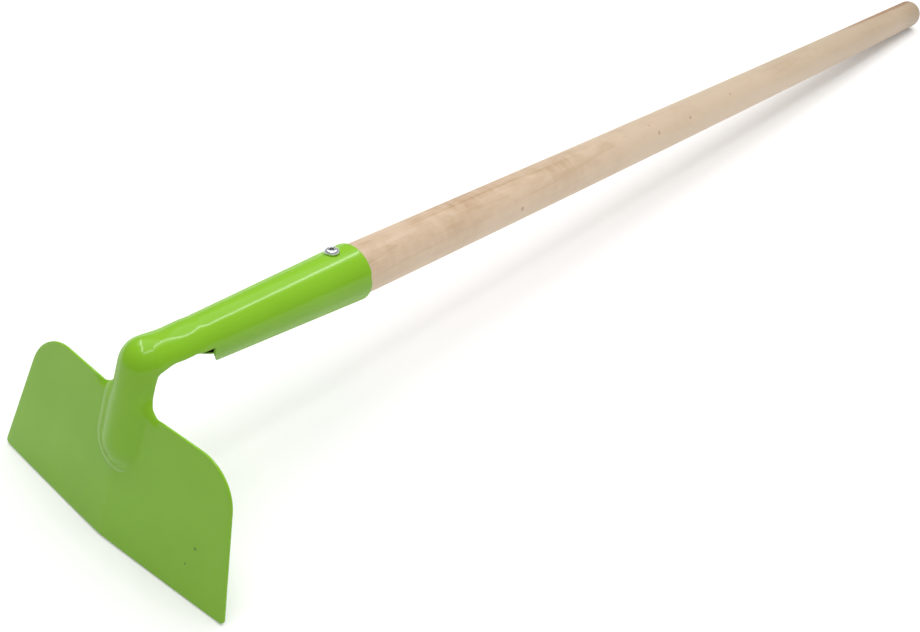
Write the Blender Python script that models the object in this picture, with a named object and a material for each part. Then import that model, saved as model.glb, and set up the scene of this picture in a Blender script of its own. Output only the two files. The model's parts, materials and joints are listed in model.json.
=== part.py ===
"""Light garden hoe: a pressed steel head, a turned wooden handle and the screw that joins them.

Everything is modelled in the tool's own axes first.  The origin is the centre of the socket mouth,
X runs along the handle towards the butt and Z points from the blade side to the back of the tool.
An empty then tips the whole hoe until both blade corners and the butt stand on the ground.

The head is one blank of sheet steel.  A point of the blank has a station, measured along the ridge
line from the cutting edge over the blade, neck and bend to the socket mouth, and a side distance
from that line.  The function press_point says where the press puts such a point.
"""
import math

import bmesh
import bpy
import numpy as np
from mathutils import Euler, Matrix, Vector

MM = 0.001

# Sheet metal and fits
SHEET = 1.2 * MM
FIT = 0.3 * MM

# Blade
BLADE_WIDTH = 145.0 * MM
BLADE_TOP_WIDTH = 119.0 * MM
BLADE_HEIGHT = 67.85 * MM
TOP_CORNER_RADIUS = 21.6 * MM
BOTTOM_CORNER_RADIUS = 2.0 * MM
EDGE_RISE = 1.1 * MM
SWEEP_ANGLE = math.radians(3.8)
CREASE_HALF_WIDTH = 3.0 * MM

# Rib pressed forward out of the middle of the blade
RIB_HEIGHT = 4.9 * MM
RIB_SLOPE = math.radians(42.0)
RIB_FOOT_RADIUS = 2.5 * MM
RIB_BOTTOM = 35.2 * MM

# Neck, from the top edge of the blade round the bend to the socket
NECK_HALF_WIDTH = 15.0 * MM
BEND_HALF_WIDTH = 15.75 * MM
REACH_HALF_WIDTH = 13.95 * MM
NECK_BLEND = 10.0 * MM
REACH_BLEND = 9.0 * MM
REACH_BLEND_INSIDE = 2.0 * MM
NECK_SECTION_RADIUS = 10.3 * MM
BEND_SECTION_RADIUS = 11.1 * MM
NECK_DROP = 15.2 * MM
NECK_REACH = 26.4 * MM
NECK_CREST = 12.05 * MM
NECK_SAG = 0.6 * MM
NECK_FALL = math.radians(2.6)
BEND_RADIUS = 11.6 * MM
BEND_ANGLE = math.radians(79.8)
ROOT_FILLET = 2.6 * MM
ROOT_SPREAD = 4.2 * MM
ROOT_DIP = 0.5 * MM
ROOT_BELOW = 4.3 * MM
ROOT_ABOVE = 6.8 * MM

# Socket, rolled round the handle with an open seam underneath
SOCKET_LENGTH = 91.5 * MM
SOCKET_MOUTH_RADIUS = 13.9 * MM
SOCKET_END_RADIUS = 10.77 * MM
SOCKET_TILT = math.radians(0.85)
SOCKET_BLEND = 7.0 * MM
SOCKET_BLEND_INSIDE = 3.0 * MM
SEAM_GAP = 2.5 * MM
SEAM_SETBACK = 9.1 * MM

# Handle
HANDLE_LENGTH = 647.0 * MM
BUTT_RADIUS = 10.2 * MM
HANDLE_BOW = 1.3 * MM
HANDLE_SWELL = 0.2 * MM
BUTT_ROUNDING = 4.8 * MM
TENON_SETBACK = 15.5 * MM
TENON_CHAMFER = 2.0 * MM

# Screw through the back of the socket
SCREW_SETBACK = 12.3 * MM
SCREW_TURN = math.radians(11.0)
SCREW_LENGTH = 16.0 * MM
SCREW_POINT = 4.0 * MM
SCREW_TIP_RADIUS = 0.3 * MM
SCREW_RADIUS = 1.75 * MM
SCREW_HOLE_CLEARANCE = 0.4 * MM
SCREW_PILOT_SPARE = 1.0 * MM
SCREW_HEAD_RADIUS = 3.5 * MM
SCREW_HEAD_HEIGHT = 2.2 * MM
SCREW_HEAD_RIM = 0.7 * MM
SCREW_HEAD_FLAT = 1.9 * MM
RECESS_SPAN = 3.4 * MM
RECESS_SLOT = 0.9 * MM
RECESS_DEPTH = 1.1 * MM

# Facets and tolerances
HANDLE_SIDES = 32
HANDLE_RINGS = 12
BUTT_STEPS = 4
SCREW_SIDES = 24
HEAD_STEPS = 4
FLAP_COLUMNS = 12
CORNER_STEPS = 10
SMALL_CORNER_STEPS = 5
EDGE_STEPS = 6
BEND_ROWS = 10
WELD = 0.001 * MM
TIPPING_STEPS = 60
SHARP_ANGLE = math.radians(35.0)

# Sizes that follow from the ones above
HALF_BLADE = BLADE_WIDTH / 2
SIDE_TAPER = (BLADE_WIDTH - BLADE_TOP_WIDTH) / 2 / BLADE_HEIGHT
SIDE_ANGLE = math.atan(SIDE_TAPER)
STRIP_HALF_WIDTH = NECK_HALF_WIDTH + ROOT_FILLET
WING_START = STRIP_HALF_WIDTH + ROOT_SPREAD
ROOT_START = BLADE_HEIGHT - ROOT_BELOW
ROOT_END = BLADE_HEIGHT + ROOT_ABOVE
BEND_START = BLADE_HEIGHT + NECK_DROP
BEND_END = BEND_START + BEND_RADIUS * (BEND_ANGLE + NECK_FALL)
NOTCH = BEND_END + NECK_REACH
BLEND_END = NOTCH + SOCKET_BLEND_INSIDE
BLEND_START = BLEND_END - SOCKET_BLEND
REACH_START = BEND_END - REACH_BLEND_INSIDE
REACH_END = REACH_START + REACH_BLEND
MOUTH = NOTCH + SOCKET_LENGTH
SOCKET_TAPER = (SOCKET_MOUTH_RADIUS - SOCKET_END_RADIUS) / SOCKET_LENGTH
RIB_CROWN_RADIUS = RIB_HEIGHT / (1 - math.cos(RIB_SLOPE)) - RIB_FOOT_RADIUS
RIB_CROWN_EDGE = RIB_CROWN_RADIUS * math.sin(RIB_SLOPE)
RIB_HALF_WIDTH = RIB_CROWN_EDGE + RIB_FOOT_RADIUS * math.sin(RIB_SLOPE)
RIB_CENTRE = RIB_BOTTOM + RIB_HALF_WIDTH
HANDLE_MOUTH_RADIUS = SOCKET_MOUTH_RADIUS - SHEET - FIT
TENON_LENGTH = SOCKET_LENGTH - TENON_SETBACK


def smooth(value, start, stop):
    """Ease from 0 at start to 1 at stop, level at both ends."""
    share = np.clip((value - start) / (stop - start), 0, 1)
    return share * share * (3 - 2 * share)


def socket_radius(station):
    """Outer radius of the socket, a straight taper from the mouth inwards."""
    return SOCKET_MOUTH_RADIUS + SOCKET_TAPER * (station - MOUTH)


def ridge_line(station):
    """The line that the middle of the head follows, in X and Z, and the direction into the sheet."""
    share = smooth(station, BLEND_START, BLEND_END)
    bent = np.clip((BEND_END - station) / BEND_RADIUS, 0, BEND_ANGLE + NECK_FALL)
    turn = bent - NECK_FALL * (1 - share)
    inward = np.stack([np.sin(turn), -np.cos(turn)], -1)
    bend_top = np.array([BEND_END - MOUTH, NECK_CREST + math.tan(NECK_FALL) * NECK_REACH])
    bend_centre = bend_top - BEND_RADIUS * np.array([math.sin(NECK_FALL), math.cos(NECK_FALL)])
    drop = np.maximum(BEND_START - station, 0)[..., None]
    down = -np.array([math.cos(BEND_ANGLE), math.sin(BEND_ANGLE)])
    bend = bend_centre - BEND_RADIUS * inward + drop * down
    along = station - MOUTH
    neck_crest = NECK_CREST + math.tan(NECK_FALL) * (NOTCH - station)
    through = np.clip((station - BEND_END) / (BLEND_START - BEND_END), 0, 1)
    neck_crest = neck_crest - NECK_SAG * np.sin(math.pi * through)**2
    socket_crest = socket_radius(station) - math.tan(SOCKET_TILT) * along
    straight = np.stack([along, neck_crest + (socket_crest - neck_crest) * share], -1)
    return np.where((station > BEND_END)[..., None], straight, bend), inward


def section_radius(station):
    """Radius of the round section, from the neck through the bend to the socket."""
    neck = NECK_SECTION_RADIUS
    neck = neck + (BEND_SECTION_RADIUS - neck) * smooth(station, BEND_START, BEND_END)
    return neck + (socket_radius(station) - neck) * smooth(station, BLEND_START, BLEND_END)


def rib_depth(distance):
    """Height of the rib over the blade: a round crown that runs into a round foot."""
    crown = np.sqrt(np.maximum(RIB_CROWN_RADIUS**2 - distance**2, 0))
    crown = RIB_HEIGHT - RIB_CROWN_RADIUS + crown
    into_foot = np.clip(RIB_HALF_WIDTH - distance, 0, RIB_FOOT_RADIUS)
    foot = RIB_FOOT_RADIUS - np.sqrt(RIB_FOOT_RADIUS**2 - into_foot**2)
    return np.where(distance < RIB_CROWN_EDGE, crown, np.where(distance < RIB_HALF_WIDTH, foot, 0))


def swept_back(side):
    """How far the wings lie behind the middle: straight, with a soft crease in the middle."""
    reach = np.abs(side)
    soft = (side**2 / CREASE_HALF_WIDTH + CREASE_HALF_WIDTH) / 2
    return math.sin(SWEEP_ANGLE) * np.where(reach < CREASE_HALF_WIDTH, soft, reach)


def press_point(station, side):
    """Place of a point of the blank on the outer face of the finished head."""
    station, side = np.broadcast_arrays(np.asarray(station, float), np.asarray(side, float))
    reach = np.abs(side)
    up_blade = np.clip(station / BLADE_HEIGHT, 0, 1)
    beside_root = smooth(reach, NECK_HALF_WIDTH, STRIP_HALF_WIDTH)
    beside_root = beside_root * (1 - smooth(reach, STRIP_HALF_WIDTH, WING_START))
    rise = EDGE_RISE * (side / HALF_BLADE)**2 * (1 - up_blade)
    station = station + rise - ROOT_DIP * beside_root * up_blade
    rib_distance = np.hypot(side, np.minimum(station - RIB_CENTRE, 0))
    flat_across = side * math.cos(SWEEP_ANGLE)
    flat_inward = RIB_HEIGHT + swept_back(side) - rib_depth(rib_distance)
    radius = section_radius(station)
    round_across = radius * np.sin(side / radius)
    round_inward = radius * (1 - np.cos(side / radius))
    beside = smooth(reach, NECK_HALF_WIDTH, WING_START)
    beside = beside * (1 - smooth(station, BLADE_HEIGHT, BLADE_HEIGHT + ROOT_FILLET))
    share = smooth(station, ROOT_START, ROOT_END) * (1 - beside)
    across = flat_across + (round_across - flat_across) * share
    deep = flat_inward + (round_inward - flat_inward) * share
    ridge, inward = ridge_line(station)
    place = ridge + deep[..., None] * inward
    return np.stack([place[..., 0], across, place[..., 1]], -1)


def strip_half_width(station):
    """Side distance of the blank's edge: neck, fuller bend, narrower reach, rounded into the blade."""
    width = NECK_HALF_WIDTH
    bend_share = smooth(station, BEND_START - NECK_BLEND / 2, BEND_START + NECK_BLEND / 2)
    width = width + (BEND_HALF_WIDTH - width) * bend_share
    width = width + (REACH_HALF_WIDTH - BEND_HALF_WIDTH) * smooth(station, REACH_START, REACH_END)
    reach = np.clip((BLADE_HEIGHT + ROOT_FILLET - station) / ROOT_FILLET, 0, 1)
    return width + ROOT_FILLET * (1 - np.sqrt(1 - reach**2))


def rows(start, stop, *spans):
    """Sorted values from start to stop: both ends, and the even steps of every span between them."""
    values = [np.array([start, stop])]
    values += [np.linspace(first, last, steps + 1) for first, last, steps in spans]
    merged = np.unique(np.round(np.concatenate(values), 7))
    return merged[(merged > start - WELD) & (merged < stop + WELD)]


def arc(centre, radius, first, last, steps):
    """Points of a round corner of the blank, as pairs of side distance and station."""
    angle = np.linspace(first, last, steps + 1)
    return np.stack([centre[0] + radius * np.cos(angle), centre[1] + radius * np.sin(angle)], -1)


def wing_outline():
    """Outline of a wing beyond its blended part, from the top edge round to the cutting edge."""
    top_side = HALF_BLADE - SIDE_TAPER * (BLADE_HEIGHT - TOP_CORNER_RADIUS)
    top_centre = (top_side - TOP_CORNER_RADIUS / math.cos(SIDE_ANGLE), BLADE_HEIGHT - TOP_CORNER_RADIUS)
    low_side = HALF_BLADE - SIDE_TAPER * BOTTOM_CORNER_RADIUS
    low_centre = (low_side - BOTTOM_CORNER_RADIUS / math.cos(SIDE_ANGLE), BOTTOM_CORNER_RADIUS)
    quarter = math.pi / 2
    top = arc(top_centre, TOP_CORNER_RADIUS, quarter, SIDE_ANGLE, CORNER_STEPS)
    low = arc(low_centre, BOTTOM_CORNER_RADIUS, SIDE_ANGLE, -quarter, SMALL_CORNER_STEPS)
    edge_sides = np.linspace(low_centre[0], WING_START, EDGE_STEPS + 1)[1:-1]
    edge = np.stack([edge_sides, np.zeros_like(edge_sides)], -1)
    return np.concatenate([top, low, edge])


def add_grid(mesh, points):
    """Faces between the rows and columns of a grid of points."""
    height, width = points.shape[:2]
    corners = [[mesh.verts.new(point) for point in row] for row in points]
    for i in range(height - 1):
        for j in range(width - 1):
            mesh.faces.new((corners[i][j], corners[i + 1][j], corners[i + 1][j + 1], corners[i][j + 1]))


def sheet_mesh():
    """Outer face of the head for one side of the ridge line."""
    blade_rows = rows(0, BLADE_HEIGHT,
                      (0, RIB_BOTTOM, 4),
                      (RIB_BOTTOM, RIB_CENTRE - RIB_CROWN_EDGE, 2),
                      (RIB_CENTRE - RIB_CROWN_EDGE, RIB_CENTRE, 6),
                      (RIB_CENTRE, ROOT_START, 2),
                      (ROOT_START, BLADE_HEIGHT, 3))
    neck_rows = rows(BLADE_HEIGHT, NOTCH,
                     (BLADE_HEIGHT, BLADE_HEIGHT + ROOT_FILLET, 3),
                     (BLADE_HEIGHT + ROOT_FILLET, ROOT_END, 2),
                     (BEND_START, BEND_END, BEND_ROWS),
                     (BEND_END, REACH_END, 3),
                     (REACH_END, BLEND_START, 3),
                     (BLEND_START, NOTCH, 4))
    socket_rows = rows(NOTCH, MOUTH, (NOTCH, BLEND_END, 1), (BLEND_END, MOUTH, 5))
    crown = RIB_CROWN_EDGE / STRIP_HALF_WIDTH
    foot = RIB_HALF_WIDTH / STRIP_HALF_WIDTH
    columns = rows(0, 1, (0, crown, 6), (crown, foot, 2), (foot, 1, 4))
    mesh = bmesh.new()

    all_rows = np.concatenate([blade_rows, neck_rows[1:], socket_rows[1:]])
    add_grid(mesh, press_point(all_rows[:, None], strip_half_width(all_rows)[:, None] * columns))

    beside = np.linspace(STRIP_HALF_WIDTH, WING_START, 3)
    add_grid(mesh, press_point(blade_rows[:, None], beside))

    inner = np.stack([np.full(len(blade_rows), WING_START), blade_rows], -1)
    wing = np.concatenate([inner, wing_outline()])
    mesh.faces.new([mesh.verts.new(point) for point in press_point(wing[:, 1], wing[:, 0])])

    round_the_tube = np.linspace(0, 1, FLAP_COLUMNS + 1)
    front = NOTCH + SEAM_SETBACK * round_the_tube**2
    share = (socket_rows[:, None] - NOTCH) / SOCKET_LENGTH
    station = front + (MOUTH - front) * share
    strip_edge = strip_half_width(socket_rows)[:, None]
    seam_edge = math.pi * socket_radius(station) - SEAM_GAP / 2
    add_grid(mesh, press_point(station, strip_edge + (seam_edge - strip_edge) * round_the_tube))

    bmesh.ops.remove_doubles(mesh, verts=mesh.verts, dist=WELD)
    return mesh


def ring_mesh(rings, sides):
    """Closed solid through rings given as place along X, shift along Z and radius."""
    mesh = bmesh.new()
    angle = np.arange(sides) * 2 * math.pi / sides
    loops = []
    for along, shift, radius in rings:
        circle = np.stack([np.full(sides, along), radius * np.sin(angle), shift + radius * np.cos(angle)], -1)
        loops.append([mesh.verts.new(point) for point in circle])
    for near, far in zip(loops, loops[1:]):
        for k in range(sides):
            m = (k + 1) % sides
            mesh.faces.new((near[k], near[m], far[m], far[k]))
    mesh.faces.new(loops[0])
    mesh.faces.new(loops[-1])
    bmesh.ops.recalc_face_normals(mesh, faces=mesh.faces)
    return mesh


def handle_rings():
    """Rings of the handle: the tapered tenon, the slightly bowed body and the rounded butt."""
    rings = []
    for inset, cut in ((0, TENON_CHAMFER), (TENON_CHAMFER, 0)):
        along = inset - TENON_LENGTH
        radius = socket_radius(MOUTH + along) - SHEET - FIT - cut
        rings.append((along, -math.tan(SOCKET_TILT) * along, radius))
    body = np.linspace(0, HANDLE_LENGTH - BUTT_ROUNDING, HANDLE_RINGS + 1)
    butt = HANDLE_LENGTH - BUTT_ROUNDING * (1 - np.sin(np.linspace(0, math.pi / 2, BUTT_STEPS + 1)))
    for along in np.concatenate([body, butt[1:]]):
        share = along / HANDLE_LENGTH
        arch = 4 * share * (1 - share)
        radius = HANDLE_MOUTH_RADIUS + (BUTT_RADIUS - HANDLE_MOUTH_RADIUS) * share + HANDLE_SWELL * arch
        past = max(along - (HANDLE_LENGTH - BUTT_ROUNDING), 0)
        radius -= BUTT_ROUNDING - math.sqrt(max(BUTT_ROUNDING**2 - past**2, 0))
        rings.append((along, -HANDLE_BOW * arch, radius))
    return rings


def screw_rings():
    """Rings of the screw along its own axis, from its tip to the top of its pan head."""
    rings = [(-SCREW_LENGTH, 0, SCREW_TIP_RADIUS),
             (SCREW_POINT - SCREW_LENGTH, 0, SCREW_RADIUS),
             (0, 0, SCREW_RADIUS),
             (0, 0, SCREW_HEAD_RADIUS)]
    for angle in np.linspace(0, math.pi / 2, HEAD_STEPS + 1):
        height = SCREW_HEAD_RIM + (SCREW_HEAD_HEIGHT - SCREW_HEAD_RIM) * math.sin(angle)
        radius = SCREW_HEAD_FLAT + (SCREW_HEAD_RADIUS - SCREW_HEAD_FLAT) * math.cos(angle)
        rings.append((height, 0, radius))
    return rings


def cross_mesh(bottom, top):
    """Upright cross along X, which cuts the recess of the screw head."""
    half = RECESS_SLOT / 2
    tip = RECESS_SPAN / 2
    quarter = [(half, half), (half, tip), (-half, tip)]
    mesh = bmesh.new()
    outline = []
    for turn in range(4):
        cos, sin = round(math.cos(turn * math.pi / 2)), round(math.sin(turn * math.pi / 2))
        outline += [(cos * y - sin * z, sin * y + cos * z) for y, z in quarter]
    near = mesh.faces.new([mesh.verts.new((bottom, y, z)) for y, z in outline])
    far = bmesh.ops.extrude_face_region(mesh, geom=[near])["geom"]
    moved = [item for item in far if isinstance(item, bmesh.types.BMVert)]
    bmesh.ops.translate(mesh, verts=moved, vec=(top - bottom, 0, 0))
    bmesh.ops.recalc_face_normals(mesh, faces=mesh.faces)
    return mesh


def linear(colour):
    """A colour as seen, in shares of 255, as the linear values that a material holds."""
    shares = [value / 255 for value in colour]
    return [s / 12.92 if s <= 0.04045 else ((s + 0.055) / 1.055)**2.4 for s in shares] + [1.0]


def material(name, colour, roughness, metallic=0.0):
    """Plain Principled material."""
    made = bpy.data.materials.new(name)
    made.use_nodes = True
    shader = made.node_tree.nodes["Principled BSDF"]
    shader.inputs["Base Color"].default_value = linear(colour)
    shader.inputs["Roughness"].default_value = roughness
    shader.inputs["Metallic"].default_value = metallic
    return made


def add_object(name, mesh, carrier, finish=None):
    """Named object on the carrier, shaded smooth except over its sharp edges."""
    data = bpy.data.meshes.new(name)
    mesh.to_mesh(data)
    mesh.free()
    data.shade_smooth()
    data.set_sharp_from_angle(angle=SHARP_ANGLE)
    made = bpy.data.objects.new(name, data)
    bpy.context.scene.collection.objects.link(made)
    made.parent = carrier
    if finish:
        data.materials.append(finish)
    else:
        made.hide_render = True
        made.display_type = "WIRE"
    return made


def cut(target, cutter):
    """Take the cutter out of the target."""
    modifier = target.modifiers.new(cutter.name, "BOOLEAN")
    modifier.operation = "DIFFERENCE"
    modifier.solver = "EXACT"
    modifier.object = cutter


def place_on_screw_axis(piece):
    """Stand a piece made along X on the screw's axis, square to the back of the socket."""
    round_the_socket = Matrix.Rotation(SOCKET_TILT, 4, "Y") @ Matrix.Rotation(-SCREW_TURN, 4, "X")
    seat = Matrix.Translation((-SCREW_SETBACK, 0, socket_radius(MOUTH - SCREW_SETBACK) + FIT))
    stand_up = Matrix.Rotation(-math.pi / 2 - math.atan(SOCKET_TAPER), 4, "Y")
    piece.matrix_basis = round_the_socket @ seat @ stand_up


def build_head(carrier):
    """The pressed head: one side of the sheet, mirrored, thickened inwards and drilled."""
    head = add_object("hoe_head", sheet_mesh(), carrier, material("green_coat", (128, 178, 72), 0.35))
    mirror = head.modifiers.new("other_side", "MIRROR")
    mirror.use_axis = (False, True, False)
    mirror.merge_threshold = WELD
    thicken = head.modifiers.new("sheet", "SOLIDIFY")
    thicken.thickness = SHEET
    thicken.offset = -1
    thicken.use_even_offset = True
    hole_radius = SCREW_RADIUS + SCREW_HOLE_CLEARANCE
    reach = SHEET + SCREW_HEAD_RADIUS
    drill = add_object("socket_drill", ring_mesh([(-reach, 0, hole_radius), (reach, 0, hole_radius)],
                                                 SCREW_SIDES), carrier)
    place_on_screw_axis(drill)
    cut(head, drill)
    return head


def build_handle(carrier):
    """The handle, with the pilot hole for the screw in its tenon."""
    handle = add_object("handle", ring_mesh(handle_rings(), HANDLE_SIDES), carrier,
                        material("pale_wood", (214, 192, 165), 0.6))
    pilot_radius = SCREW_RADIUS + FIT
    depth = SCREW_LENGTH + SCREW_PILOT_SPARE
    drill = add_object("pilot_drill", ring_mesh([(-depth, 0, pilot_radius), (SCREW_HEAD_RADIUS, 0, pilot_radius)],
                                                SCREW_SIDES), carrier)
    place_on_screw_axis(drill)
    cut(handle, drill)
    return handle


def build_screw(carrier):
    """The pan head screw with a cross recess."""
    screw = add_object("socket_screw", ring_mesh(screw_rings(), SCREW_SIDES), carrier,
                       material("zinc", (190, 190, 195), 0.25, metallic=1.0))
    place_on_screw_axis(screw)
    bottom = SCREW_HEAD_HEIGHT - RECESS_DEPTH
    recess = add_object("recess_cutter", cross_mesh(bottom, SCREW_HEAD_HEIGHT + RECESS_DEPTH), carrier)
    place_on_screw_axis(recess)
    cut(screw, recess)
    return screw


def outer_points(piece):
    """All corners of a piece as the viewport shows it, in world coordinates."""
    bpy.context.view_layer.update()
    seen = piece.evaluated_get(bpy.context.evaluated_depsgraph_get())
    points = np.empty(len(seen.data.vertices) * 3)
    seen.data.vertices.foreach_get("co", points)
    matrix = np.array(seen.matrix_world)
    return points.reshape(-1, 3) @ matrix[:3, :3].T + matrix[:3, 3]


def tipped(points, angle):
    """Points turned about Y by an angle."""
    x, y, z = points.T
    cos, sin = math.cos(angle), math.sin(angle)
    return np.stack([x * cos + z * sin, y, z * cos - x * sin], -1)


def stand_on_ground(carrier, head, handle):
    """Tip the hoe until head and handle reach equally low, and centre it on the origin."""
    head_points, handle_points = outer_points(head), outer_points(handle)
    level, steep = 0.0, math.pi / 4
    for _ in range(TIPPING_STEPS):
        middle = (level + steep) / 2
        if tipped(head_points, middle)[:, 2].min() < tipped(handle_points, middle)[:, 2].min():
            level = middle
        else:
            steep = middle
    points = tipped(np.concatenate([head_points, handle_points]), level)
    low, high = points.min(0), points.max(0)
    carrier.rotation_euler = Euler((0, level, 0))
    carrier.location = Vector((-(low[0] + high[0]) / 2, 0, -low[2]))
    bpy.context.view_layer.update()


def print_mount(name, carrier, point, normal):
    """Print a mount's place and direction as the finished hoe has them."""
    place = carrier.matrix_world @ Vector(point)
    direction = (carrier.matrix_world.to_3x3() @ Vector(normal)).normalized()
    print(name, [round(v, 6) for v in place], [round(v, 6) for v in direction])


def main():
    for old in list(bpy.data.objects):
        bpy.data.objects.remove(old, do_unlink=True)
    carrier = bpy.data.objects.new("tool_axes", None)
    bpy.context.scene.collection.objects.link(carrier)
    head = build_head(carrier)
    handle = build_handle(carrier)
    build_screw(carrier)
    stand_on_ground(carrier, head, handle)

    print("tipped by", round(math.degrees(carrier.rotation_euler.y), 4), "degrees, origin moved by",
          [round(v, 6) for v in carrier.location])
    print_mount("butt_end", carrier, (HANDLE_LENGTH, 0, 0), (1, 0, 0))
    station, side = BLADE_HEIGHT / 2, (WING_START + HALF_BLADE) / 2
    near, up, out = press_point([station, station + MM, station], [side, side, side + MM])
    print_mount("blade_front", carrier, near, np.cross(up - near, out - near))


main()
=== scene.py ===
# %% [markdown]
# A light garden hoe.
# The real tool has three pieces: a head pressed from one sheet of steel, a turned wooden handle and
# one screw. This lesson gives each of them a finer surface and its own finish, and then lights the
# hoe on a white table, as a catalogue would show it.

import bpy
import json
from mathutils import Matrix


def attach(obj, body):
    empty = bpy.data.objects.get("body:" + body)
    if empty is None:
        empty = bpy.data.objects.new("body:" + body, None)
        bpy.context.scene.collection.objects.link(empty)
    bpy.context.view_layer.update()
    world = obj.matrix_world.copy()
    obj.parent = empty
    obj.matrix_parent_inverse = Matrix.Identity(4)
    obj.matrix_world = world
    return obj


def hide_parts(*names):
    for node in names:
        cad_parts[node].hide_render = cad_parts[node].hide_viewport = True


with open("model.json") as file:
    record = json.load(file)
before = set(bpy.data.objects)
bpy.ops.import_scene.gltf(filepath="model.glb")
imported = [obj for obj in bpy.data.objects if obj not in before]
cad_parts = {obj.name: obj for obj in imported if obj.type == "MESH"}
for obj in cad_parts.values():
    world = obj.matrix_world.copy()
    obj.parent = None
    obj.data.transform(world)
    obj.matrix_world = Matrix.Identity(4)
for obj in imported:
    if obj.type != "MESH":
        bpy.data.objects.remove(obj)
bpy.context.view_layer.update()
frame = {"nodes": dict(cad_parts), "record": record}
print("packed nodes:", sorted(frame["nodes"]))

# %% Modules and units
import json
import math

import bpy
import numpy as np
from mathutils import Matrix, Quaternion, Vector

MM = 0.001

# %% [markdown]
# The tool's own axes.
# A hoe is easiest to describe along its handle, but it lies tipped on the ground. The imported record
# holds a mount on the butt of the handle, and its direction is the direction of the handle. So all
# shapes are worked out along the handle first and are then turned into place. Here the origin is
# the centre of the socket mouth, the first axis runs to the butt, the second across the blade and
# the third to the back of the tool.

# %% Find the tool's own axes
HANDLE_LENGTH = 647.0 * MM

butt_mount = next(m for m in frame["record"]["mounts"] if m["name"] == "butt_end")
along = np.array(butt_mount["axis"]) / np.linalg.norm(butt_mount["axis"])
across = np.array([0.0, 1.0, 0.0])
tool_axes = np.stack([along, across, np.cross(along, across)])
mouth_centre = np.array(butt_mount["pos_m"]) - HANDLE_LENGTH * along
tip_angle = math.atan2(-along[2], along[0])


def placed(points):
    """Points of the tool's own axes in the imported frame: mouth centre plus each share of an axis."""
    return mouth_centre + np.asarray(points) @ tool_axes


print("the hoe is tipped by", round(math.degrees(tip_angle), 3), "degrees")

# %% [markdown]
# The camera.
# The picture is taken from in front of the blade and to one side, looking down on it, with the
# camera a little askew. A camera could be aimed with a constraint, but turning it by given angles
# keeps the slant as one plain number, so the view is a turn, a downward tilt and a roll, all in the
# tool's own axes.

# %% Stand the camera in front of the blade
EYE = (-0.40013, -0.32697, 0.33244)
VIEW_TURN = math.radians(33.316)
VIEW_DROP = math.radians(33.803)
VIEW_ROLL = math.radians(11.811)
LENS = 51.95

aim = Vector((math.cos(VIEW_DROP) * math.cos(VIEW_TURN),
              math.cos(VIEW_DROP) * math.sin(VIEW_TURN),
              -math.sin(VIEW_DROP)))
camera = bpy.data.objects.new("camera", bpy.data.cameras.new("camera"))
camera.data.lens = LENS
camera.data.sensor_width = 36.0
camera.data.clip_start = 0.01
camera.location = placed(EYE)
camera.rotation_mode = "QUATERNION"
aimed = aim.to_track_quat("-Z", "Y") @ Quaternion((0, 0, 1), VIEW_ROLL)
camera.rotation_quaternion = Quaternion((0, 1, 0), tip_angle) @ aimed
bpy.context.scene.collection.objects.link(camera)
bpy.context.scene.camera = camera
print("camera aims along", [round(v, 3) for v in aim])

# %% [markdown]
# The head: one blank, then pressed.
# The factory cuts a flat blank, presses the rib, neck and bend into it and rolls its tail round the
# handle. The head could be a blade, a bend and a tube joined by booleans, but then the creases fall
# in the wrong places. So this lesson does what the press does. A point of the blank has a station,
# measured along the middle from the cutting edge, and a side distance from that line. One function
# says where the press puts it, and every grid of the blank goes through it.

# %% Sizes of the head
SHEET = 1.2 * MM
EDGE_ROUND = 0.5 * MM
BLADE_WIDTH = 145.0 * MM
BLADE_TOP_WIDTH = 119.0 * MM
BLADE_HEIGHT = 67.85 * MM
NEAR_CORNER_RADIUS = 21.6 * MM
FAR_CORNER_RADIUS = 22.5 * MM
BOTTOM_CORNER_RADIUS = 2.0 * MM
EDGE_RISE = 1.1 * MM
SWEEP_ANGLE = math.radians(3.8)
CREASE_HALF_WIDTH = 3.0 * MM
RIB_HEIGHT = 4.9 * MM
RIB_SLOPE = math.radians(42.0)
RIB_FOOT_RADIUS = 2.5 * MM
RIB_BOTTOM = 35.2 * MM
NECK_HALF_WIDTH = 15.0 * MM
BEND_HALF_WIDTH = 15.75 * MM
REACH_HALF_WIDTH = 13.95 * MM
NECK_BLEND = 10.0 * MM
REACH_BLEND = 9.0 * MM
REACH_BLEND_INSIDE = 2.0 * MM
NECK_SECTION_RADIUS = 10.3 * MM
BEND_SECTION_RADIUS = 11.1 * MM
NECK_DROP = 15.2 * MM
NECK_REACH = 26.4 * MM
NECK_CREST = 12.05 * MM
NECK_SAG = 0.6 * MM
NECK_FALL = math.radians(2.6)
BEND_RADIUS = 11.6 * MM
BEND_ANGLE = math.radians(79.8)
ROOT_FILLET = 2.6 * MM
ROOT_SPREAD = 4.2 * MM
ROOT_DIP = 0.5 * MM
ROOT_BELOW = 4.3 * MM
ROOT_ABOVE = 6.8 * MM
SOCKET_LENGTH = 91.5 * MM
SOCKET_MOUTH_RADIUS = 13.9 * MM
SOCKET_END_RADIUS = 10.77 * MM
SOCKET_TILT = math.radians(0.85)
SOCKET_BLEND = 7.0 * MM
SOCKET_BLEND_INSIDE = 3.0 * MM
SEAM_GAP = 2.5 * MM
SEAM_SHIFT = 2.6 * MM
NEAR_SETBACK = 7.0 * MM
NEAR_CURVE = 2.0
FAR_SETBACK = 10.5 * MM
FAR_CURVE = 5.0
NOTCH_SPREAD = 0.9 * MM
NOTCH_SPREAD_START = 10.0 * MM
NOTCH_SPREAD_END = 5.0 * MM

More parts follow.
